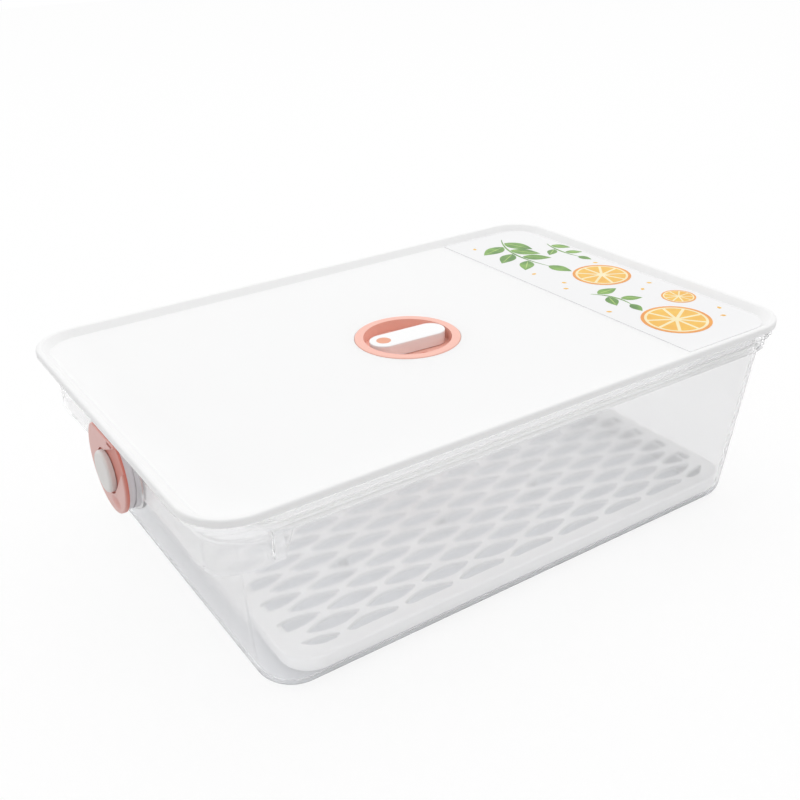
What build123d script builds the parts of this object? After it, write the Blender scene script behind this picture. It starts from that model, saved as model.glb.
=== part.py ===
from build123d import *
from dataclasses import dataclass
from math import asin, cos, degrees, radians, sin, sqrt
import os

# Food storage box with a lift-out drain tray, a lid with a turning vent, and a date dial on its grip.
# Millimetres. The origin is the middle of the lid, down on the surface that the box stands on.
# X runs along the box, the grip and its dial at -X. Z is up.

# Driving dimensions of the lid
lid_length = 335.0
lid_width = 219.8
lid_corner = 24.0
rim_crest_width = 2.8      # width of the raised rim at its top
rim_foot_width = 6.8       # width of the raised rim where it meets the panel
rim_rounding = 1.15
rim_height = 3.2           # rise of the rim over the panel
panel_thickness = 2.0
panel_gap = 0.8            # between the panel's edge and the box's lip
skirt_depth = 11.0         # how far the skirt reaches down from the panel
skirt_wall = 1.8
skirt_gap = 1.6            # between the skirt and the mouth of the box
seal_height = 2.4
seal_drop = 2.0            # underside of the seal, above the skirt's lower edge
seal_clearance = 0.3
lip_joint = 0.1            # the panel's top stands this far over the box's lip

# Driving dimensions of the box
lip_top = 97.2             # height of the box without its lid
lip_height = 4.0
flange_height = 6.7
wall = 1.8
floor_thickness = 2.2
lip_inset_end = 1.7        # from the lid's edge in to the lip, flange, grip and mouth
lip_inset_side = 0.9
flange_inset_end = 6.0
flange_inset_side = 2.5
grip_inset_end = 8.5
grip_inset_side = 3.5
mouth_inset_right = 9.4
mouth_inset_left = 22.0
mouth_inset_side = 4.1
mouth_corner = 20.0
lean_right = 15.2          # how far each wall leans in from the mouth down to the floor
lean_left = 5.3
lean_side = 3.2
base_rounding = 8.0
inner_rounding = 6.0
edge_rounding = 0.6

# Grip that hangs from the flange at the dial end
grip_depth_end = 19.3      # how far it hangs at the end wall, and at its front edges
grip_depth_side = 13.1
grip_arch = 1.5            # rise of the end wall's lower edge between the dial and the corner
grip_turn = 1.4            # rise of that edge at the corner
grip_turn_length = 9.0
grip_sweep = 3.8           # height over which the edge sweeps up round the corner
grip_reach = 31.5          # how far it wraps along the long sides, from the lid's end
gusset_top = 8.0
gusset_foot = 4.0

# Drain tray
tray_height = 10.8
tray_plate = 1.8
tray_apron = 8.0           # depth of the turned-down edge
tray_corner = 15.0
tray_gap_right = 0.8       # play between the tray and the walls
tray_gap_left = 9.4
tray_gap_side = 0.9
tray_margin = 6.2
tray_rounding = 1.2
apron_rounding = 1.0
field_corner = 15.0
foot_inset = 6.6
foot_wall = 1.6
drain_notch_width = 14.0
drain_notch_height = 2.0
drain_notch_step_x = 77.5
drain_notch_step_y = 43.75
post_radius = 2.6
post_row = 4               # leaf row, out from the middle, that the posts stand in
post_columns = 3
leaf_pitch_x = 31.0
leaf_pitch_y = 8.75
leaf_length = 27.2
leaf_width = 8.5
leaf_tip = 0.9             # width of a leaf at its blunt ends
smallest_leaf = 20.0       # area of the smallest cut leaf that is kept
leaf_centre_x = 7.3        # middle of the leaf pattern, along the box

# Label film on the lid's panel
label_length = 63.5
label_thickness = 0.3
label_margin = 0.8
label_corner = 15.0

# Turning vent in the middle of the lid
vent_x = -3.5
vent_y = -2.5
ring_radius = 27.5
ring_rise = 0.4            # top of the ring over the panel's surface
ring_thickness = 1.4
cup_radius = 22.9          # inside of the cup
cup_wall = 1.4
cup_depth = 6.0
cup_floor = 1.5
gasket_thickness = 0.8
gasket_width = 2.6
seat_thickness = 1.6
seat_wall = 2.6
retainer_thickness = 1.8
retainer_width = 3.6
slot_inner = 10.5          # vent slots through the cup's floor and the shutter
slot_outer = 16.5
slot_angle = 50.0
shutter_radius = 19.5
shutter_thickness = 1.2
lever_length = 43.0
lever_width = 15.4
lever_height = 6.6
lever_turn = -3.5          # degrees from X at rest
lever_rounding = 0.5
dot_radius = 3.8
dot_offset = 14.2
dot_thickness = 0.6
spindle_radius = 4.0
vent_screw_head = 5.4
vent_screw_head_height = 1.6
vent_screw_shank = 1.3
vent_screw_length = 9.0

# Date dial on the grip
dial_drop = 24.8           # its centre under the rim's top
axle_drop = 26.7           # its axle under the rim's top
plate_radius = 22.2
plate_thickness = 2.1
plate_flat_gap = 0.7       # under the lip
plate_top_corner = 7.0
plate_rounding = 0.6
recess_radius = 11.0       # round the knob, with a channel that runs out over the plate's edge
recess_depth = 1.0
channel_start = 94.0       # degrees round the axle where the channel's upper side leaves the recess
channel_upper = 154.0      # degrees from Y of the channel's two sides
channel_lower = 131.0
slot_y = -10.3             # clip slot by the plate's top edge
slot_width = 6.6
slot_height = 1.6
slot_bar = 0.5
clip_reach = 0.4
dent_y = -7.0
dent_drop = 15.2           # thumb dent under the plate's centre
dent_length = 13.0
dent_width = 6.4
dent_depth = 0.7
housing_radius = 21.4
housing_thickness = 6.2
housing_floor = 1.4
housing_groove = 0.9
wheel_radius = 17.0
wheel_thickness = 1.2
wheel_rim = 1.2
wheel_rim_width = 3.4      # the numbers go round this rim, under the clear housing
wheel_hub_radius = 6.5
wheel_notches = 31
wheel_notch_radius = 0.6
knob_radius = 10.0
knob_height = 2.5          # over the plate's face
knob_rounding = 1.6
pad_clearance = 0.6
pad_border = 1.4           # width of the pad left round the housing
pad_depth = 1.1            # from the grip's face in to the pad's
knob_screw_head = 5.2
knob_screw_head_height = 1.2
knob_screw_shank = 1.4
knob_screw_length = 6.0
cover_radius = 17.0
cover_thickness = 2.6
cover_corner = 2.0
cover_rounding = 0.6
dial_screw_circle = 12.5
dial_screw_turn = 30.0
dial_screw_shank = 1.2
dial_screw_head = 2.4
dial_screw_head_height = 1.5
dial_screw_count = 3
dial_screw_bite = 1.1      # how far it goes into the housing's floor
spring_length = 12.0
spring_width = 3.0
spring_strip = 0.4

# Clearances
running = 0.08             # radial, between a turning shaft and its hole
slack = 0.3                # between faces that move past each other
snug = 0.2                 # between pieces that fit but don't turn


@dataclass
class Outline:
    """A rounded rectangle seen from above, kept even about the X axis."""
    left: float
    right: float
    half: float
    corner: float

    def inset(self, d):
        return Outline(self.left + d, self.right - d, self.half - d, max(self.corner - d, 1.0))

    def face(self, z):
        middle = (self.left + self.right) / 2
        size = (self.right - self.left, 2 * self.half)
        return Plane.XY.offset(z) * Pos(middle, 0) * RectangleRounded(*size, self.corner)


def prism(outline, low, high):
    return extrude(outline.face(low), high - low)


def drafted(lower, low, upper, high):
    return loft([lower.face(low), upper.face(high)], ruled=True)


def drum(radius, low, high, x=0.0, y=0.0):
    """An upright cylinder."""
    return extrude(Plane.XY.offset(low) * Pos(x, y) * Circle(radius), high - low)


def brick(x0, x1, y0, y1, z0, z1):
    size = (x1 - x0, y1 - y0, z1 - z0)
    return Pos((x0 + x1) / 2, (y0 + y1) / 2, (z0 + z1) / 2) * Box(*size)


def across(sketch, x0, x1):
    """A sketch of the end view, Y across and Z up, carried along X."""
    return extrude(Plane.YZ.offset(x0) * sketch, x1 - x0)


def disc(radius, x0, x1, z, y=0.0):
    """A cylinder along X."""
    return across(Pos(y, z) * Circle(radius), x0, x1)


def flat_edges(solid, z):
    """The edges that lie in the level plane at z."""
    return [e for e in solid.edges()
            if abs(e.bounding_box().min.Z - z) < 1e-4 and abs(e.bounding_box().max.Z - z) < 1e-4]


def upright_edges(solid, x):
    """The edges that lie in the plane across the box at x."""
    return [e for e in solid.edges()
            if abs(e.bounding_box().min.X - x) < 1e-4 and abs(e.bounding_box().max.X - x) < 1e-4]


# Levels and outlines that the pieces share
panel_top = lip_top + lip_joint
crest_z = panel_top + rim_height
panel_bottom = panel_top - panel_thickness
lip_bottom = lip_top - lip_height
shelf_z = lip_bottom - flange_height
shelf_top = shelf_z + wall
lip_inside_z = lip_bottom + wall
skirt_z = panel_bottom - skirt_depth

lid_outline = Outline(-lid_length / 2, lid_length / 2, lid_width / 2, lid_corner)


def lid_inset(end, side, left=None):
    """The lid's outline moved in by one amount at the ends and another at the sides."""
    left = end if left is None else left
    corner = max(lid_corner - max(end, side) / 2, 2.0)
    return Outline(lid_outline.left + left, lid_outline.right - end, lid_outline.half - side, corner)


lip_outline = lid_inset(lip_inset_end, lip_inset_side)
flange_outline = lid_inset(flange_inset_end, flange_inset_side)
grip_outline = lid_inset(grip_inset_end, grip_inset_side)
mouth_outline = lid_inset(mouth_inset_right, mouth_inset_side, mouth_inset_left)
mouth_outline.corner = mouth_corner


def wall_outline(z):
    """The outer face of the box wall at a height."""
    down = 1 - z / shelf_z
    return Outline(mouth_outline.left + lean_left * down, mouth_outline.right - lean_right * down,
                   mouth_outline.half - lean_side * down, mouth_corner - lean_side * down / 2)


# Places of the dial, outside in along X
pad_front = grip_outline.left + pad_depth
pad_back = pad_front + wall
housing_front = pad_front - housing_thickness
plate_front = housing_front - plate_thickness
dial_z = crest_z - dial_drop
axle_z = crest_z - axle_drop
plate_top = lip_bottom - plate_flat_gap
housing_inside = pad_front - housing_floor
pad_radius = housing_radius + pad_border
notch_radius = housing_radius + pad_clearance


def dial_shape(radius, corner=plate_top_corner, top=plate_top):
    """A round shape with a flat top, as seen from the dial end."""
    rise = top - dial_z
    half = sqrt(radius ** 2 - rise ** 2)
    shape = Pos(0, dial_z) * Circle(radius)
    shape -= Pos(0, top + radius) * Rectangle(4 * radius, 2 * radius)
    tips = [v for v in shape.vertices() if abs(abs(v.X) - half) < 0.01]
    return fillet(tips, corner)


def screw_places():
    step = 360 / dial_screw_count
    for k in range(dial_screw_count):
        a = radians(dial_screw_turn + k * step)
        yield dial_screw_circle * cos(a), axle_z + dial_screw_circle * sin(a)


def grip_shell():
    """The wall that hangs round the dial end, open below, with its closing webs and gussets."""
    end_x = lid_outline.left + grip_reach
    low_end = shelf_z - grip_depth_end
    low_side = shelf_z - grip_depth_side
    shell = prism(grip_outline, low_end, shelf_z) - prism(grip_outline.inset(wall), low_end, shelf_z)
    keep = brick(grip_outline.left - 1, end_x, -grip_outline.half, grip_outline.half, low_end, shelf_z)
    for side in (-1, 1):
        y0, y1 = sorted((side * (grip_outline.half - wall * 3), side * grip_outline.half))
        shell += brick(end_x - wall, end_x, y0, y1, low_end, shelf_z)
    shell = shell & keep
    # the end wall's lower edge arches between the dial and the corner, then turns up
    x0 = grip_outline.left
    turn_y = grip_outline.half - grip_outline.corner
    turn_z = low_end + grip_turn
    dip_y = turn_y - grip_turn_length
    arch_y = (pad_radius + dip_y) / 2
    past = low_end - 1
    arch = ThreePointArc((pad_radius, low_end), (arch_y, low_end + grip_arch), (dip_y, low_end))
    turn = Bezier((dip_y, low_end), ((dip_y + turn_y) / 2, low_end), (turn_y, turn_z))
    under = Polyline((turn_y, turn_z), (turn_y, past), (pad_radius, past), (pad_radius, low_end))
    arched = make_face([arch, turn, under])
    shell -= across(arched + mirror(arched, Plane.YZ), x0 - 1, x0 + 2 * wall)
    # round the corner it sweeps up towards the front of the grip
    inside = x0 + wall
    sweep = Bezier((inside, turn_z), (inside + grip_turn, turn_z + grip_sweep), (end_x, low_side))
    below = Polyline((end_x, low_side), (end_x + 1, low_side), (end_x + 1, past), (x0 - 1, past),
                     (x0 - 1, turn_z), (inside, turn_z))
    swept = make_face([sweep, below])
    for side in (-1, 1):
        start = Plane.XZ.offset(-side * turn_y)
        shell -= extrude(start * swept, -side * (grip_outline.corner + 1))
    # a raised panel runs off along each long side
    for side in (-1, 1):
        panel = Polyline((end_x, shelf_z), (end_x + gusset_top, shelf_z), (end_x + gusset_foot, low_side),
                         (end_x, low_side), close=True)
        face = Plane.XZ.offset(-side * grip_outline.half) * make_face(panel)
        shell += extrude(face, side * wall)
    return shell


def container():
    mouth = wall_outline(shelf_z)
    foot = wall_outline(0)
    outer = drafted(foot, 0, mouth, shelf_z)
    outer = fillet(flat_edges(outer, 0), base_rounding)
    flange = prism(flange_outline, shelf_z, lip_bottom)
    flange = fillet(flat_edges(flange, shelf_z), edge_rounding)
    lip = prism(lip_outline, lip_bottom, lip_top)
    lip = fillet(flat_edges(lip, lip_bottom) + flat_edges(lip, lip_top), edge_rounding)
    body = outer + flange + lip + grip_shell()
    pad = across(dial_shape(pad_radius, top=plate_top + pad_clearance), pad_front, pad_back)
    body += pad

    inner_low = wall_outline(floor_thickness).inset(wall)
    inner_high = wall_outline(shelf_top).inset(wall)
    cavity = drafted(inner_low, floor_thickness, inner_high, shelf_top)
    cavity = fillet(flat_edges(cavity, floor_thickness), inner_rounding)
    cavity += prism(flange_outline.inset(wall), shelf_top, lip_top)
    cavity += prism(lip_outline.inset(wall), lip_inside_z, lip_top)
    pad_half = notch_radius + wall
    cavity -= brick(lid_outline.left, pad_back, -pad_half, pad_half, shelf_top, lip_inside_z)
    body -= cavity

    notch_top = plate_top + pad_clearance * 0.8
    body -= across(dial_shape(notch_radius, top=notch_top), lid_outline.left - wall, pad_front)
    body -= disc(knob_screw_head + pad_clearance, pad_front, pad_back, axle_z)
    for y, z in screw_places():
        body -= disc(dial_screw_shank + snug, pad_front, pad_back, z, y)
    return body


def lid_panel():
    rim = prism(lid_outline, lip_top, crest_z)
    bowl = drafted(lid_outline.inset(rim_foot_width), panel_top, lid_outline.inset(rim_crest_width), crest_z)
    rim -= bowl
    rim = fillet(flat_edges(rim, crest_z), rim_rounding)
    panel = prism(lip_outline.inset(wall + panel_gap), panel_bottom, panel_top)
    skirt = prism(skirt_outline(), skirt_z, panel_bottom)
    skirt -= prism(skirt_outline().inset(skirt_wall), skirt_z, panel_bottom)
    body = rim + panel + skirt
    seat_low = seat_z() - seat_thickness
    body += vent_drum(ring_radius + snug + seat_wall, seat_low, panel_bottom)
    body -= vent_drum(ring_radius + snug, seat_z(), panel_top)
    body -= vent_drum(cup_radius + cup_wall + snug, seat_low, seat_z())
    return body


def skirt_outline():
    return wall_outline(skirt_z).inset(wall + skirt_gap - seal_clearance)


def lid_seal():
    """A soft ring round the skirt, just short of the wall."""
    low = skirt_z + seal_drop
    outer = wall_outline(low).inset(wall + seal_clearance)
    return prism(outer, low, low + seal_height) - prism(skirt_outline(), low, low + seal_height)


def label_film():
    right = lid_outline.right - rim_foot_width - label_margin
    half = lid_outline.half - rim_foot_width - label_margin
    top = panel_top + label_thickness
    sheet = prism(Outline(right - 2 * label_length, right, half, label_corner), panel_top, top)
    return sheet & brick(right - label_length, right, -half, half, panel_top, top)


# Levels of the vent, from its ring down
ring_top = panel_top + ring_rise
ring_bottom = ring_top - ring_thickness
cup_floor_top = ring_top - cup_depth
cup_floor_bottom = cup_floor_top - cup_floor
lever_bottom = cup_floor_top + slack
shutter_top = cup_floor_bottom - slack
shutter_bottom = shutter_top - shutter_thickness


def seat_z():
    return ring_bottom - gasket_thickness


def vent_drum(radius, low, high):
    """An upright cylinder about the vent's axis."""
    return drum(radius, low, high, vent_x, vent_y)


def ring_slot(low, high, middle):
    """A slot that bends round the vent's axis."""
    radius = (slot_inner + slot_outer) / 2
    half = (slot_outer - slot_inner) / 2
    reach = slot_angle / 2 - degrees(asin(half / radius))
    ends = [(cos(radians(a)), sin(radians(a))) for a in (middle - reach, middle + reach)]
    far = slot_outer * 2
    wedge = make_face(Polyline((0, 0), *((far * x, far * y) for x, y in ends), close=True))
    slot = (Circle(slot_outer) - Circle(slot_inner)) & wedge
    for x, y in ends:
        slot += Pos(radius * x, radius * y) * Circle(half)
    return extrude(Plane.XY.offset(low) * Pos(vent_x, vent_y) * slot, high - low)


def vent_cup():
    body = vent_drum(ring_radius, ring_bottom, ring_top)
    body = fillet(flat_edges(body, ring_top), edge_rounding)
    body += vent_drum(cup_radius + cup_wall, cup_floor_bottom, ring_bottom)
    body -= vent_drum(cup_radius, cup_floor_top, ring_top)
    body -= vent_drum(spindle_radius + running, cup_floor_bottom, cup_floor_top)
    for middle in (90, 270):
        body -= ring_slot(cup_floor_bottom, cup_floor_top, lever_turn + middle)
    return body


def vent_cup_gasket():
    outer = ring_radius - edge_rounding / 2
    inner = max(outer - gasket_width, cup_radius + cup_wall + snug)
    return vent_drum(outer, seat_z(), ring_bottom) - vent_drum(inner, seat_z(), ring_bottom)


def vent_retainer_ring():
    top = seat_z() - seat_thickness
    low = top - retainer_thickness
    inner = cup_radius + cup_wall
    return vent_drum(inner + retainer_width, low, top) - vent_drum(inner, low, top)


def about_vent(solid):
    return Pos(vent_x, vent_y, 0) * Rot(0, 0, lever_turn) * solid


def vent_lever():
    top = lever_bottom + lever_height
    bar = extrude(Plane.XY.offset(lever_bottom) * SlotOverall(lever_length, lever_width), lever_height)
    bar = fillet(flat_edges(bar, top), lever_rounding)
    bar += drum(spindle_radius, shutter_bottom, lever_bottom)
    bar -= drum(dot_radius, top - dot_thickness, top, -dot_offset)
    bar -= drum(vent_screw_shank, shutter_bottom, shutter_bottom + vent_screw_length)
    return about_vent(bar)


def vent_lever_dot():
    top = lever_bottom + lever_height
    return about_vent(drum(dot_radius, top - dot_thickness, top, -dot_offset))


def vent_shutter():
    plate = vent_drum(shutter_radius, shutter_bottom, shutter_top)
    plate -= vent_drum(spindle_radius, shutter_bottom, shutter_top)
    for middle in (0, 180):
        plate -= ring_slot(shutter_bottom, shutter_top, lever_turn + middle)
    return plate


def vent_screw():
    low = shutter_bottom - vent_screw_head_height
    head = vent_drum(vent_screw_head, low, shutter_bottom)
    head = fillet(flat_edges(head, low), vent_screw_head_height / 3)
    shank = vent_drum(vent_screw_shank, shutter_bottom, shutter_bottom + vent_screw_length - slack)
    slot = brick(vent_x - spindle_radius, vent_x + spindle_radius, vent_y - slack, vent_y + slack,
                 low, low + vent_screw_head_height / 2)
    return head + shank - slot


# Levels and outline of the tray
tray_bottom = floor_thickness
tray_top = tray_bottom + tray_height
tray_under = tray_top - tray_plate


apron_bottom = tray_top - tray_apron


def tray_outline(z):
    """The tray's apron follows the walls of the box, at a height."""
    walls = wall_outline(z).inset(wall)
    return Outline(walls.left + tray_gap_left, walls.right - tray_gap_right,
                   walls.half - tray_gap_side, tray_corner)


def leaf_face(x, y):
    """One pointed hole of the tray, between two arcs."""
    half, rise, tip = leaf_length / 2, leaf_width / 2, leaf_tip / 2
    upper = ThreePointArc((-half, tip), (0, rise), (half, tip))
    lower = ThreePointArc((half, -tip), (0, -rise), (-half, -tip))
    ends = [Line((half, tip), (half, -tip)), Line((-half, -tip), (-half, tip))]
    return Pos(x, y) * make_face([upper, ends[0], lower, ends[1]])


def leaf_wires(field):
    """The outlines of staggered rows of leaves, cut where they run over the field's edge."""
    edge = field.face(0)
    corners = field.inset(field_corner)
    rows = int(field.half / leaf_pitch_y) + 1
    columns = int((field.right - field.left) / leaf_pitch_x) + 2
    wires = []
    for row in range(-rows, rows):
        y = (row + 0.5) * leaf_pitch_y
        shift = 0.5 if row % 2 == 0 else 0.0
        for column in range(-columns, columns + 1):
            x = leaf_centre_x + (column + shift) * leaf_pitch_x
            low, high = x - leaf_length / 2, x + leaf_length / 2
            side = abs(y) + leaf_width / 2
            if low > field.right or high < field.left:
                continue
            whole = low > field.left and high < field.right and side < field.half
            beside_corner = side > corners.half and (low < corners.left or high > corners.right)
            leaf = leaf_face(x, y)
            if not whole or beside_corner:
                leaf = leaf & edge
            if leaf:
                wires += [f.outer_wire() for f in leaf.faces() if f.area > smallest_leaf]
    return wires


def drain_tray():
    outline = tray_outline(apron_bottom)
    upper = tray_outline(tray_top)
    field = upper.inset(tray_margin)
    field.corner = field_corner
    plate = drafted(outline, apron_bottom, upper, tray_top)
    plate = fillet(flat_edges(plate, tray_top), tray_rounding)
    plate = fillet(flat_edges(plate, apron_bottom), apron_rounding)
    plate -= prism(outline.inset(foot_wall), apron_bottom, tray_under)
    foot = prism(outline.inset(foot_inset), tray_bottom, tray_under)
    foot -= prism(outline.inset(foot_inset + foot_wall), tray_bottom, tray_under)
    # water runs out under the foot through low notches
    half = drain_notch_width / 2
    notch_top = tray_bottom + drain_notch_height
    for x in (-drain_notch_step_x, 0, drain_notch_step_x):
        foot -= brick(x - half, x + half, -outline.half, outline.half, tray_bottom, notch_top)
    for y in (-drain_notch_step_y, drain_notch_step_y):
        foot -= brick(outline.left, outline.right, y - half, y + half, tray_bottom, notch_top)
    # the plate inside the apron is one face with all its holes
    deck = outline.inset(foot_wall)
    frame = plate + foot - prism(deck, tray_under, tray_top)
    holed = Face(deck.face(0).faces()[0].outer_wire(), leaf_wires(field))
    lattice = extrude(Plane.XY.offset(tray_under) * holed, tray_plate)
    body = frame + lattice
    for x, y in post_places(field):
        body += drum(post_radius, tray_bottom, tray_under, x, y)
    return body


def post_places(field):
    """Posts under the bridges between neighbouring leaves, in two rows."""
    for row in (-post_row - 1, post_row):
        # a row's bridges lie half a pitch off its leaves
        shift = 0.0 if row % 2 == 0 else 0.5
        for column in range(-post_columns, post_columns, 2):
            x = leaf_centre_x + (column + shift) * leaf_pitch_x
            if field.left + 2 * post_radius < x < field.right - 2 * post_radius:
                yield x, (row + 0.5) * leaf_pitch_y


def dial_housing():
    body = across(dial_shape(housing_radius), housing_front, pad_front)
    groove_at = housing_front + (housing_thickness - housing_groove) / 2
    groove = dial_shape(housing_radius)
    groove -= dial_shape(housing_radius - housing_groove, plate_top_corner - housing_groove,
                         plate_top - housing_groove)
    body -= across(groove, groove_at, groove_at + housing_groove)
    y0, y1, z0, z1 = clip_slot()
    body += brick(housing_front - clip_reach, housing_front, y0 + snug, y1 - snug, z0 + snug, z1 - snug)
    body -= disc(wheel_radius + slack, housing_front, housing_inside, axle_z)
    body -= disc(spindle_radius + running, housing_inside, pad_front, axle_z)
    for y, z in screw_places():
        body -= disc(dial_screw_shank, pad_front - dial_screw_bite, pad_front, z, y)
    return body


def clip_slot():
    """The slot that the housing's clip reaches into: its sides, foot and top."""
    top = plate_top - slot_bar
    return slot_y - slot_width / 2, slot_y + slot_width / 2, top - slot_height, top


def recess_shape():
    """Round about the knob, with a channel that widens up to the plate's edge."""
    far = 2 * plate_radius

    def spot(angle, along=0.0, reach=0.0):
        return (recess_radius * cos(radians(angle)) + reach * cos(radians(along)),
                recess_radius * sin(radians(angle)) + reach * sin(radians(along)))

    low = channel_lower + 90
    channel = Polyline(spot(channel_start), spot(channel_start, channel_upper, far),
                       spot(low, channel_lower, far), spot(low), close=True)
    return Pos(0, axle_z) * (Circle(recess_radius) + make_face(channel))


def thumb_dent():
    """A shallow oval dent: a spindle across the plate that dips into its face."""
    out = (dent_width ** 2 / 4 - dent_depth ** 2) / (2 * dent_depth)
    half = dent_length / 2
    arc = ThreePointArc((-half, out), (0, out + dent_depth), (half, out))
    sides = Polyline((half, out), (half, 0), (-half, 0), (-half, out))
    spindle = revolve(make_face([arc, *sides.edges()]), Axis.X)
    return Pos(plate_front - out, dent_y, dial_z - dent_drop) * Rot(0, 0, 90) * spindle


def dial_face_plate():
    body = across(dial_shape(plate_radius), plate_front, housing_front)
    body = fillet(upright_edges(body, plate_front), plate_rounding)
    body -= across(recess_shape(), plate_front, plate_front + recess_depth)
    body -= disc(spindle_radius + running, plate_front, housing_front, axle_z)
    y0, y1, z0, z1 = clip_slot()
    body -= brick(plate_front, housing_front, y0, y1, z0, z1)
    return body - thumb_dent()


wheel_front = housing_front + slack
wheel_back = wheel_front + wheel_thickness


def dial_number_wheel():
    body = disc(wheel_radius, wheel_front, wheel_front + wheel_rim_width, axle_z)
    body -= disc(wheel_radius - wheel_rim, wheel_back, wheel_front + wheel_rim_width, axle_z)
    body += disc(wheel_hub_radius, wheel_back, housing_inside - slack, axle_z)
    for k in range(wheel_notches):
        a = radians(360 * k / wheel_notches)
        y, z = wheel_radius * cos(a), axle_z + wheel_radius * sin(a)
        body -= disc(wheel_notch_radius, wheel_front, wheel_back, z, y)
    body -= disc(spindle_radius, wheel_front, housing_inside, axle_z)
    return body


stem_end = pad_front + snug


def dial_knob():
    front = plate_front - knob_height
    back = plate_front + recess_depth - slack
    body = disc(knob_radius, front, back, axle_z)
    body = fillet(upright_edges(body, front), knob_rounding)
    body += disc(spindle_radius, back, stem_end, axle_z)
    body -= disc(knob_screw_shank, stem_end - knob_screw_length, stem_end, axle_z)
    return body


def dial_knob_screw():
    head = disc(knob_screw_head, stem_end, stem_end + knob_screw_head_height, axle_z)
    shank = disc(knob_screw_shank, stem_end - knob_screw_length + slack, stem_end, axle_z)
    return head + shank


def dial_detent_spring():
    """An arched leaf spring on the housing's floor, under the wheel."""
    rise = housing_inside - wheel_front - wheel_rim_width - slack
    half = spring_length / 2
    outer = ThreePointArc((-half, 0), (0, rise), (half, 0))
    inner = ThreePointArc((half - spring_strip, 0), (0, rise - spring_strip), (-half + spring_strip, 0))
    feet = [Line((half, 0), (half - spring_strip, 0)), Line((-half + spring_strip, 0), (-half, 0))]
    face = make_face([outer, feet[0], inner, feet[1]])
    middle = (housing_inside, 0, axle_z - wheel_radius + spring_width)
    place = Plane(origin=middle, x_dir=(0, 1, 0), z_dir=(0, 0, 1))
    return extrude(place * face, spring_width / 2, both=True)


def dial_back_cover():
    shape = dial_shape(cover_radius, cover_corner, shelf_z - slack)
    body = across(shape, pad_back, pad_back + cover_thickness)
    body = fillet(upright_edges(body, pad_back + cover_thickness), cover_rounding)
    for y, z in screw_places():
        body -= disc(dial_screw_shank + snug, pad_back, pad_back + cover_thickness, z, y)
    return body


def dial_screws():
    screws = []
    for y, z in screw_places():
        back = pad_back + cover_thickness
        head = disc(dial_screw_head, back, back + dial_screw_head_height, z, y)
        head = fillet(upright_edges(head, back + dial_screw_head_height), dial_screw_head_height / 3)
        screws.append(head + disc(dial_screw_shank, pad_front - dial_screw_bite, back, z, y))
    return Compound(screws)


pieces = [
    container, drain_tray, lid_panel, lid_seal, label_film,
    vent_cup, vent_cup_gasket, vent_retainer_ring, vent_lever, vent_lever_dot, vent_shutter, vent_screw,
    dial_housing, dial_face_plate, dial_number_wheel, dial_knob, dial_knob_screw, dial_detent_spring,
    dial_back_cover, dial_screws,
]

os.makedirs("parts", exist_ok=True)
for piece in pieces:
    export_step(piece(), f"parts/{piece.__name__}.step")
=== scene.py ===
import bmesh
import bpy
from math import atan2, cos, pi, radians, sin
from mathutils import Matrix, Vector


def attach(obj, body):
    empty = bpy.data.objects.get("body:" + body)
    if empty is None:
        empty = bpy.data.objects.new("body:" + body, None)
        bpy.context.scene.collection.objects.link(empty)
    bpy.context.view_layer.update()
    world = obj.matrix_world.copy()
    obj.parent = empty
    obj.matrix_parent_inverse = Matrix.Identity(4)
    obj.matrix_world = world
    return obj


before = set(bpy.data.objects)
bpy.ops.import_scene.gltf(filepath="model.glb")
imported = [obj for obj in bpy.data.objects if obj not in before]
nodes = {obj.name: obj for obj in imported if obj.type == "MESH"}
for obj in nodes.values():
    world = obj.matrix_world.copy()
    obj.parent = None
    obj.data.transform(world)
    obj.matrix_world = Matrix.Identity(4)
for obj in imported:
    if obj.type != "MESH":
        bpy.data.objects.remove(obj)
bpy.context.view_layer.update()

# Looks of the food storage box: clear box, white lid and tray, pink vent and dial, printed label.
# Metres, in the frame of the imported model. Colours are linear.

mm = 0.001


# Camera, from the solved view of the photograph

camera_place = Vector((-269.7, -398.1, 304.4)) * mm
camera_azimuth = radians(-33.36)
camera_elevation = radians(27.07)
camera_roll = radians(-1.534)
camera_lens = 45.25        # millimetres, for the sensor's width
camera_sensor = 36.0
camera_near = 0.01


def make_camera():
    data = bpy.data.cameras.new("camera")
    data.lens = camera_lens
    data.sensor_fit = "HORIZONTAL"
    data.sensor_width = camera_sensor
    data.clip_start = camera_near
    camera = bpy.data.objects.new("camera", data)
    bpy.context.scene.collection.objects.link(camera)
    back = Vector((sin(camera_azimuth) * cos(camera_elevation),
                   -cos(camera_azimuth) * cos(camera_elevation),
                   sin(camera_elevation)))
    level = Vector((cos(camera_azimuth), sin(camera_azimuth), 0))
    right = cos(camera_roll) * level + sin(camera_roll) * back.cross(level)
    up = back.cross(right)
    turn = Matrix((right, up, back)).transposed().to_4x4()
    camera.matrix_world = Matrix.Translation(camera_place) @ turn
    bpy.context.scene.camera = camera


# Shader nodes

noise_low = 0.3            # nearly all of a noise texture's values lie between these two
noise_high = 0.7


def fresh_material(name):
    material = bpy.data.materials.new(name)
    material.use_nodes = True
    tree = material.node_tree
    tree.nodes.clear()
    output = tree.nodes.new("ShaderNodeOutputMaterial")
    return material, tree, output


def node(tree, kind, inputs=None, **settings):
    """A node with these settings, its inputs set to values or linked to other nodes' outputs."""
    made = tree.nodes.new(kind)
    for key, value in settings.items():
        setattr(made, key, value)
    for key, value in (inputs or {}).items():
        socket = made.inputs[key]
        if isinstance(value, bpy.types.NodeSocket):
            tree.links.new(value, socket)
        else:
            socket.default_value = value
    return made


def maths(tree, operation, first, second):
    return node(tree, "ShaderNodeMath", {0: first, 1: second}, operation=operation).outputs["Value"]


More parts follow.
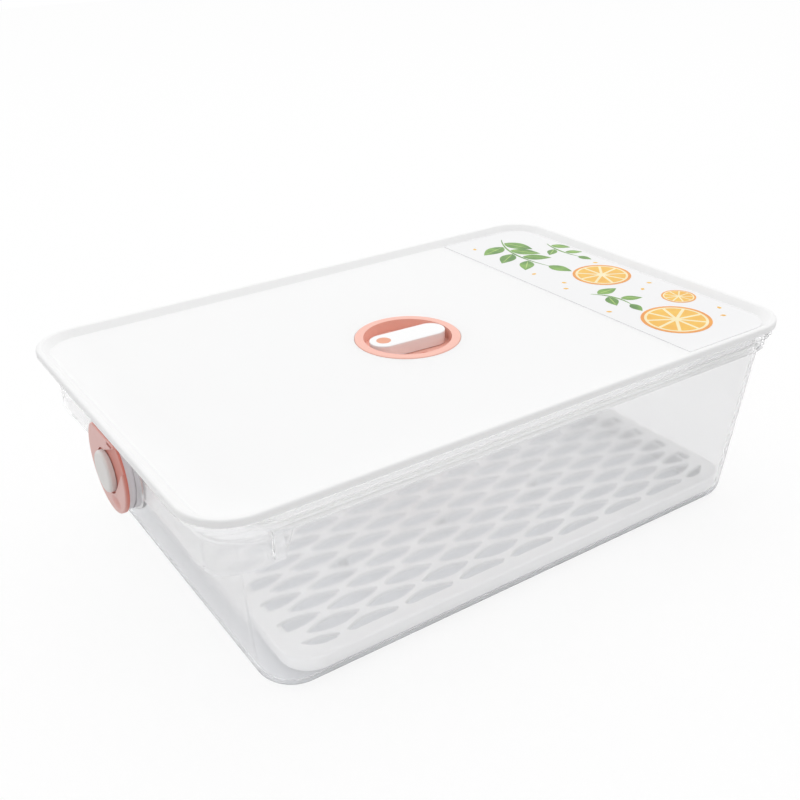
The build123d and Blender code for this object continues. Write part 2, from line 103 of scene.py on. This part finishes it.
def map_range(tree, value, start, end, low=0.0, high=1.0):
    """The value brought from the range between start and end to that between low and high."""
    limits = {"From Min": start, "From Max": end, "To Min": low, "To Max": high}
    return node(tree, "ShaderNodeMapRange", {"Value": value, **limits}).outputs["Result"]


def mix_colours(tree, share, first, second):
    """share is how much there is of the second."""
    inputs = {"Factor": share, "A": (*first, 1), "B": (*second, 1)}
    return node(tree, "ShaderNodeMix", inputs, data_type="RGBA").outputs["Result"]


def mix_shaders(tree, share, first, second):
    """share is how much there is of the second."""
    return node(tree, "ShaderNodeMixShader", {0: share, 1: first, 2: second}).outputs["Shader"]


def object_place(tree):
    return node(tree, "ShaderNodeTexCoord").outputs["Object"]


def coordinate(tree, axis):
    """The piece's own coordinate along X, Y or Z."""
    return node(tree, "ShaderNodeSeparateXYZ", {0: object_place(tree)}).outputs[axis]


def grain(tree, scale, detail=3.0):
    """Noise in the piece's own space, from 0 to 1, finer with a larger scale."""
    inputs = {"Vector": object_place(tree), "Scale": scale, "Detail": detail}
    return node(tree, "ShaderNodeTexNoise", inputs).outputs["Fac"]


def spread(tree, noise, low, high):
    """Noise brought to a range."""
    return map_range(tree, noise, noise_low, noise_high, low, high)


def bump(tree, height, depth):
    inputs = {"Height": height, "Strength": 1.0, "Distance": depth}
    return node(tree, "ShaderNodeBump", inputs).outputs["Normal"]


def lets_light_through(tree, shader, tint):
    """The same surface, but the lamps' light passes it, tinted."""
    shade = node(tree, "ShaderNodeBsdfTransparent", {"Color": (*tint, 1)}).outputs["BSDF"]
    path = node(tree, "ShaderNodeLightPath")
    return mix_shaders(tree, path.outputs["Is Shadow Ray"], shader, shade)


# Materials

plastic_ior = 1.49
shell_ior = 1.07           # low, so that the clear walls don't distort the tray behind them
shell_rough = 0.2
shell_passed = 0.97        # share of the lamps' light that a clear face passes on, before its tint
coat_rough = 0.12
rough_play = 0.1           # how much a moulded face's roughness varies, as a share of it
cloud_scale = 18.0
wave_scale = 14.0
spark_scale = 2400.0
plate_scale = 1600.0
plate_marks = 0.000008     # depth of the dial plate's grain
plate_rough = 0.35
brush_scale = 900.0
brush_marks = 0.000004     # depth of the marks on steel
ink_scale = 130.0
ink_rough = 0.3
# the container's base has a deeper tint: partly the bluish tint of thick clear plastic, partly
# painted shade under the tray
base_top = 0.0028          # height up to which the container's base reaches
wall_foot = 0.0056         # height from which on its walls have their own tint, above the base's painted shade
plate_front_x = -0.16622   # front and back of the dial's face plate
plate_back_x = -0.16412
plate_shade_stops = (0.05, 0.45, 1.0)    # shares of its depth with the colours of face, and of painted shade in recess and on edge


def moulded(name, colour, rough, fade=0.02, texture=0.00001, waves=0.00003, coat=0.0,
            glow=0.0, passed=0.0):
    """Moulded plastic: a faint cloudiness of colour, a fine spark-eroded grain and slow waves of its
    wall. fade is how far the cloudiness darkens it, and texture and waves are depths in metres. glow
    is the share of its light that comes from its other side, and passed the share of the lamps' light
    that each of its faces lets through to what lies behind."""
    material, tree, output = fresh_material(name)
    cloud = grain(tree, cloud_scale)
    darker = tuple(c * (1 - fade) for c in colour)
    fine = bump(tree, grain(tree, spark_scale, 2.0), texture)
    slow = {"Height": grain(tree, wave_scale, 1.0), "Distance": waves, "Normal": fine}
    normal = node(tree, "ShaderNodeBump", slow).outputs["Normal"]
    shown = node(tree, "ShaderNodeBsdfPrincipled", {
        "Base Color": mix_colours(tree, cloud, darker, colour),
        "Roughness": spread(tree, cloud, rough * (1 - rough_play), rough * (1 + rough_play)),
        "Normal": normal,
        "Coat Weight": coat,
        "Coat Roughness": coat_rough,
        "IOR": plastic_ior,
    }).outputs["BSDF"]
    if glow:
        lit = {"Color": (*colour, 1), "Normal": normal}
        behind = node(tree, "ShaderNodeBsdfTranslucent", lit).outputs["BSDF"]
        shown = mix_shaders(tree, glow, shown, behind)
    if passed:
        shown = lets_light_through(tree, shown, (passed, passed, passed))
    tree.links.new(shown, output.inputs["Surface"])
    return material


def clear(name, colour, base, haze):
    """See-through plastic with a share of milky haze, which lets the lamps light what is behind it.
    base is the deeper colour of its flat base: partly the bluish tint of thick clear plastic, partly
    painted shade that darkens the base's bottom edge and what is seen under the tray."""
    material, tree, output = fresh_material(name)
    # painted shade: the deeper tint of the base, fading out up to wall_foot
    above = map_range(tree, coordinate(tree, "Z"), base_top, wall_foot)
    surface = node(tree, "ShaderNodeBsdfPrincipled", {
        "Base Color": mix_colours(tree, above, base, colour),
        "Roughness": shell_rough,
        "IOR": shell_ior,
        "Transmission Weight": 1.0 - haze,
    })
    face_tint = tuple(shell_passed * c ** 0.5 for c in colour)
    shown = lets_light_through(tree, surface.outputs["BSDF"], face_tint)
    tree.links.new(shown, output.inputs["Surface"])
    return material


def painted_shade_by_depth(name, *colours):
    """Pink plastic with painted shade: its colour darkens and deepens with depth from its front face,
    along X. The colours are those of its face, and of the painted shade in its recess and on its back
    edge."""
    material, tree, output = fresh_material(name)
    depth = map_range(tree, coordinate(tree, "X"), plate_front_x, plate_back_x)
    ramp = node(tree, "ShaderNodeValToRGB", {"Fac": depth})
    stops = ramp.color_ramp.elements
    stops.new(plate_shade_stops[1])
    for stop, position, colour in zip(stops, plate_shade_stops, colours):
        stop.position = position
        stop.color = (*colour, 1)
    surface = node(tree, "ShaderNodeBsdfPrincipled", {
        "Base Color": ramp.outputs["Color"],
        "Roughness": plate_rough,
        "IOR": plastic_ior,
        "Normal": bump(tree, grain(tree, plate_scale, 2.0), plate_marks),
    })
    tree.links.new(surface.outputs["BSDF"], output.inputs["Surface"])
    return material


def ink(name, light, dark):
    """Printed colour that runs unevenly between two tones."""
    material, tree, output = fresh_material(name)
    share = spread(tree, grain(tree, ink_scale, 2.0), 0.0, 1.0)
    surface = node(tree, "ShaderNodeBsdfPrincipled", {
        "Base Color": mix_colours(tree, share, light, dark),
        "Roughness": ink_rough,
        "IOR": plastic_ior,
    })
    tree.links.new(surface.outputs["BSDF"], output.inputs["Surface"])
    return material


def steel(name, colour, smoothest, roughest):
    material, tree, output = fresh_material(name)
    marks = grain(tree, brush_scale, 4.0)
    surface = node(tree, "ShaderNodeBsdfPrincipled", {
        "Base Color": (*colour, 1),
        "Metallic": 1.0,
        "Roughness": spread(tree, marks, smoothest, roughest),
        "Normal": bump(tree, marks, brush_marks),
    })
    tree.links.new(surface.outputs["BSDF"], output.inputs["Surface"])
    return material


finishes = {
    # the clear shell's second colour is its base's tint, partly painted shade under the tray
    "clear_shell": clear("clear_shell", (0.985, 0.985, 0.988), (0.875, 0.885, 0.91), haze=0.2),
    "tray_white": moulded("tray_white", (0.96, 0.962, 0.966), rough=0.42),
    "lid_white": moulded("lid_white", (0.95, 0.95, 0.95), rough=0.35, fade=0.006,
                         glow=0.12, passed=0.93),
    "silicone": moulded("silicone", (0.85, 0.85, 0.84), rough=0.6),
    "film": moulded("film", (0.85, 0.85, 0.857), rough=0.2, fade=0.01, texture=0.0, waves=0.00002),
    "vent_pink": moulded("vent_pink", (0.93, 0.51, 0.42), rough=0.32),
    "lever_white": moulded("lever_white", (0.93, 0.93, 0.93), rough=0.22, coat=0.3),
    "dot_orange": moulded("dot_orange", (0.83, 0.36, 0.22), rough=0.3),
    "clear_housing": clear("clear_housing", (0.95, 0.92, 0.94), (0.95, 0.92, 0.94), haze=0.75),
    # the dial plate's recess and edge colours are painted shade
    "plate_pink": painted_shade_by_depth("plate_pink", (0.82, 0.47, 0.43), (0.72, 0.27, 0.22), (0.72, 0.17, 0.12)),
    "cover_pink": moulded("cover_pink", (0.78, 0.48, 0.45), rough=0.35),
    "wheel_white": moulded("wheel_white", (0.75, 0.70, 0.72), rough=0.45),
    "knob_grey": moulded("knob_grey", (0.82, 0.80, 0.78), rough=0.38),
    "steel": steel("steel", (0.62, 0.61, 0.6), 0.22, 0.38),
}

finish_pieces = {
    "clear_shell": ["container"],
    "tray_white": ["drain_tray"],
    "lid_white": ["lid_panel"],
    "silicone": ["lid_seal", "vent_cup_gasket"],
    "film": ["label_film"],
    "vent_pink": ["vent_cup", "vent_retainer_ring", "vent_shutter"],
    "lever_white": ["vent_lever"],
    "dot_orange": ["vent_lever_dot"],
    "clear_housing": ["dial_housing"],
    "plate_pink": ["dial_face_plate"],
    "cover_pink": ["dial_back_cover"],
    "wheel_white": ["dial_number_wheel"],
    "knob_grey": ["dial_knob"],
    "steel": ["vent_screw", "dial_knob_screw", "dial_detent_spring", "dial_screws"],
}
for finish, names in finish_pieces.items():
    for name in names:
        slots = nodes[name].data.materials
        slots.clear()
        slots.append(finishes[finish])


# Print on the label film: flat pieces of ink, in millimetres until they are made

film_top = 97.6
ink_below = 0.01           # how far each piece reaches into the film
ink_step = 0.02            # what each layer of ink adds

# stems by their start, middle and end, with the number of leaves and their length and width
stems = [
    (((134, 90), (116, 66), (125, 34)), 6, 22.0, 11.5),
    (((152, 66), (147, 52), (151, 36)), 3, 13.0, 7.0),
    (((112, -16), (122, -26), (119, -40)), 3, 15.0, 8.0),
]
stem_steps = 16
stem_width = 1.4
stroke_end = 0.35          # a stroke's width at its ends, as a share of its full width
first_leaf = 0.1           # the leaves stand on the stem from this share of it on
leaf_reach = 0.78          # and over this share of it
leaf_angle = radians(50)
leaf_gap = 1.5             # between the stem and a leaf
leaf_shrink = 0.3          # how much smaller the leaves get towards the stem's end
leaf_lean = 0.8            # below 1, so that a leaf is widest before its middle
end_leaf = 0.75            # size of the last leaf
vein_width = 0.8
vein_points = (0.08, 0.3, 0.55, 0.85)    # shares of the leaf's length

# slices by their middle, radius and turn
slices = [((139, 3), 17.0, 0.2), ((122, -70), 18.5, 0.5), ((148, -48), 9.5, 0.0)]
segments = 9
segment_fill = 0.84        # the rest of each segment's angle is skin
pith_radius = 0.9          # shares of the slice's radius
pulp_radius = 0.82
pulp_foot = 0.14
segment_steps = 8

seeds = [
    (112, 8), (106, 0), (150, -22), (142, -27), (147, -82),
    (152, -74), (108, 84), (107, 28), (150, 22), (103, -42),
]
seed_length = 3.4
seed_width = 2.2


def flat_piece(name, outlines, layer, material):
    """Closed thin plates with these outlines, on the label."""
    mesh = bmesh.new()
    low = (film_top - ink_below) * mm
    high = (film_top + layer * ink_step) * mm
    for outline in outlines:
        foot = [mesh.verts.new((x * mm, y * mm, low)) for x, y in outline]
        head = [mesh.verts.new((x * mm, y * mm, high)) for x, y in outline]
        mesh.faces.new(head)
        mesh.faces.new(foot[::-1])
        for k in range(len(outline)):
            after = (k + 1) % len(outline)
            mesh.faces.new((foot[k], foot[after], head[after], head[k]))
    data = bpy.data.meshes.new(name)
    mesh.to_mesh(data)
    mesh.free()
    piece = bpy.data.objects.new(name, data)
    bpy.context.scene.collection.objects.link(piece)
    data.materials.append(material)
    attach(piece, "lid")


def round_outline(x, y, radius, start=0.0, turn=2 * pi, steps=40):
    """A full circle, or the points of an arc with its two ends."""
    last = 0 if turn >= 2 * pi else 1
    angles = [start + turn * k / steps for k in range(steps + last)]
    return [(x + radius * cos(a), y + radius * sin(a)) for a in angles]


def leaf_outline(x, y, angle, length, width, steps=12):
    """A pointed leaf from its stalk outwards, widest before its middle."""
    shares = [k / steps for k in range(steps + 1)]
    side = [(length * u, width / 2 * sin(pi * u ** leaf_lean)) for u in shares]
    around = side + [(u, -v) for u, v in side[-2:0:-1]]
    return [(x + u * cos(angle) - v * sin(angle), y + u * sin(angle) + v * cos(angle))
            for u, v in around]


def stroke_outline(points, width):
    """A line of some width, thinner at its ends."""
    left, right = [], []
    end = len(points) - 1
    for k, (x, y) in enumerate(points):
        x0, y0 = points[max(k - 1, 0)]
        x1, y1 = points[min(k + 1, end)]
        away = atan2(y1 - y0, x1 - x0) + pi / 2
        half = width / 2 * (stroke_end + (1 - stroke_end) * sin(pi * k / end))
        left.append((x + half * cos(away), y + half * sin(away)))
        right.append((x - half * cos(away), y - half * sin(away)))
    return right + left[::-1]


def stem_point(stem, t):
    """A point of a curved stem, and the way it heads there."""
    (ax, ay), (bx, by), (cx, cy) = stem
    x = (1 - t) ** 2 * ax + 2 * t * (1 - t) * bx + t ** 2 * cx
    y = (1 - t) ** 2 * ay + 2 * t * (1 - t) * by + t ** 2 * cy
    dx = 2 * (1 - t) * (bx - ax) + 2 * t * (cx - bx)
    dy = 2 * (1 - t) * (by - ay) + 2 * t * (cy - by)
    return x, y, atan2(dy, dx)


def print_sprigs():
    green = ink("leaf_green", (0.20, 0.42, 0.05), (0.07, 0.22, 0.02))
    pale_green = ink("vein_green", (0.42, 0.60, 0.16), (0.33, 0.52, 0.10))
    stalks, leaves, veins = [], [], []
    for stem, count, length, width in stems:
        line = [stem_point(stem, k / stem_steps)[:2] for k in range(stem_steps + 1)]
        stalks.append(stroke_outline(line, stem_width))
        for k in range(count):
            t = first_leaf + leaf_reach * k / count
            x, y, way = stem_point(stem, t)
            size = 1 - leaf_shrink * t
            angle = way + (-1) ** k * leaf_angle
            x += leaf_gap * cos(angle)
            y += leaf_gap * sin(angle)
            leaf_length = length * size
            leaves.append(leaf_outline(x, y, angle, leaf_length, width * size))
            middle = [(x + u * leaf_length * cos(angle), y + u * leaf_length * sin(angle))
                      for u in vein_points]
            veins.append(stroke_outline(middle, vein_width))
        x, y, way = stem_point(stem, 1.0)
        leaves.append(leaf_outline(x, y, way, length * end_leaf, width * end_leaf))
    flat_piece("label_print_stalks", stalks, 1, green)
    flat_piece("label_print_leaves", leaves, 2, green)
    flat_piece("label_print_veins", veins, 3, pale_green)


def print_slices():
    rind = ink("rind_orange", (0.87, 0.36, 0.03), (0.80, 0.27, 0.02))
    pith = ink("pith_cream", (0.93, 0.82, 0.52), (0.90, 0.77, 0.44))
    pulp = ink("pulp_yellow", (0.89, 0.53, 0.05), (0.85, 0.43, 0.03))
    rinds, piths, pulps = [], [], []
    for (x, y), radius, turned in slices:
        rinds.append(round_outline(x, y, radius))
        piths.append(round_outline(x, y, radius * pith_radius))
        half = pi / segments * segment_fill
        foot = radius * pulp_foot
        for k in range(segments):
            middle = turned + 2 * pi * (k + 0.5) / segments
            tip = (x + foot * cos(middle), y + foot * sin(middle))
            rim = round_outline(x, y, radius * pulp_radius, middle - half, 2 * half, segment_steps)
            pulps.append([tip] + rim)
    flat_piece("label_print_rinds", rinds, 4, rind)
    flat_piece("label_print_piths", piths, 5, pith)
    flat_piece("label_print_pulp", pulps, 6, pulp)
    # each seed's place also turns it
    drops = [leaf_outline(x, y, x, seed_length, seed_width) for x, y in seeds]
    flat_piece("label_print_seeds", drops, 1, pulp)


print_sprigs()
print_slices()


# Floor, world and lamp

white = (1, 1, 1)
floor_size = 6.0
floor_drop = 0.0002        # keeps the floor clear of the box's flat base
floor_seen = 0.93          # the floor's grey where it is seen
floor_lit = 0.7            # and where it throws light back on the box
floor_white = 0.85         # share of plain white in the floor that is seen
floor_mirrored = 0.5       # how much of that mirrored rays see
floor_through = 0.5        # and how much rays see that a clear wall passes on
world_mirrored = 0.7
# the brightest part of the world: above, a little behind and to the right
light_way = (0.3, 0.45, 0.84)
bright_light = 1.24
dim_light = 0.4            # strength of the part that is turned away from it
dim_cosine = -0.4          # where that part starts, as a cosine of the angle to light_way


def seen_directly(tree, mirrored, through=1.0):
    """1 for camera rays, and a share for mirrored rays and for rays that a clear wall passes on."""
    path = node(tree, "ShaderNodeLightPath").outputs
    glossy = maths(tree, "MULTIPLY", path["Is Glossy Ray"], mirrored)
    passed = maths(tree, "MULTIPLY", path["Is Transmission Ray"], through)
    seen = maths(tree, "MAXIMUM", path["Is Camera Ray"], passed)
    return maths(tree, "MAXIMUM", seen, glossy)


def make_floor():
    bpy.ops.mesh.primitive_plane_add(size=floor_size, location=(0, 0, -floor_drop))
    floor = bpy.context.object
    floor.name = "floor"
    material, tree, output = fresh_material("floor")
    greys = ((floor_lit,) * 3, (floor_seen,) * 3)
    pale = mix_colours(tree, seen_directly(tree, floor_mirrored), *greys)
    plain = node(tree, "ShaderNodeBsdfDiffuse", {"Color": pale}).outputs["BSDF"]
    shine = {"Color": (*white, 1), "Strength": 1.0}
    bright = node(tree, "ShaderNodeEmission", shine).outputs["Emission"]
    share = maths(tree, "MULTIPLY", seen_directly(tree, floor_mirrored, floor_through), floor_white)
    tree.links.new(mix_shaders(tree, share, plain, bright), output.inputs["Surface"])
    floor.data.materials.append(material)


def background(tree, strength):
    inputs = {"Color": (*white, 1), "Strength": strength}
    return node(tree, "ShaderNodeBackground", inputs).outputs["Background"]


def make_world():
    """White where it is seen, and as a light brighter towards light_way."""
    world = bpy.data.worlds.new("studio")
    bpy.context.scene.world = world
    world.use_nodes = True
    tree = world.node_tree
    tree.nodes.clear()
    output = tree.nodes.new("ShaderNodeOutputWorld")
    way = node(tree, "ShaderNodeTexCoord").outputs["Generated"]
    towards = node(tree, "ShaderNodeVectorMath", {0: way, 1: light_way}, operation="DOT_PRODUCT")
    strength = map_range(tree, towards.outputs["Value"], dim_cosine, 1.0, dim_light, bright_light)
    seen = seen_directly(tree, world_mirrored)
    shown = mix_shaders(tree, seen, background(tree, strength), background(tree, 1.0))
    tree.links.new(shown, output.inputs["Surface"])


def make_lamp(name, place, target, size, power):
    data = bpy.data.lights.new(name, "AREA")
    data.shape = "SQUARE"
    data.size = size
    data.energy = power
    lamp = bpy.data.objects.new(name, data)
    bpy.context.scene.collection.objects.link(lamp)
    lamp.location = place
    lamp.rotation_euler = (Vector(target) - Vector(place)).to_track_quat("-Z", "Y").to_euler()


make_camera()
make_floor()
make_world()
make_lamp("key", place=(0.4, 0.6, 1.9), target=(0, 0, 0.05), size=1.2, power=4)
bpy.context.scene.view_settings.view_transform = "Standard"
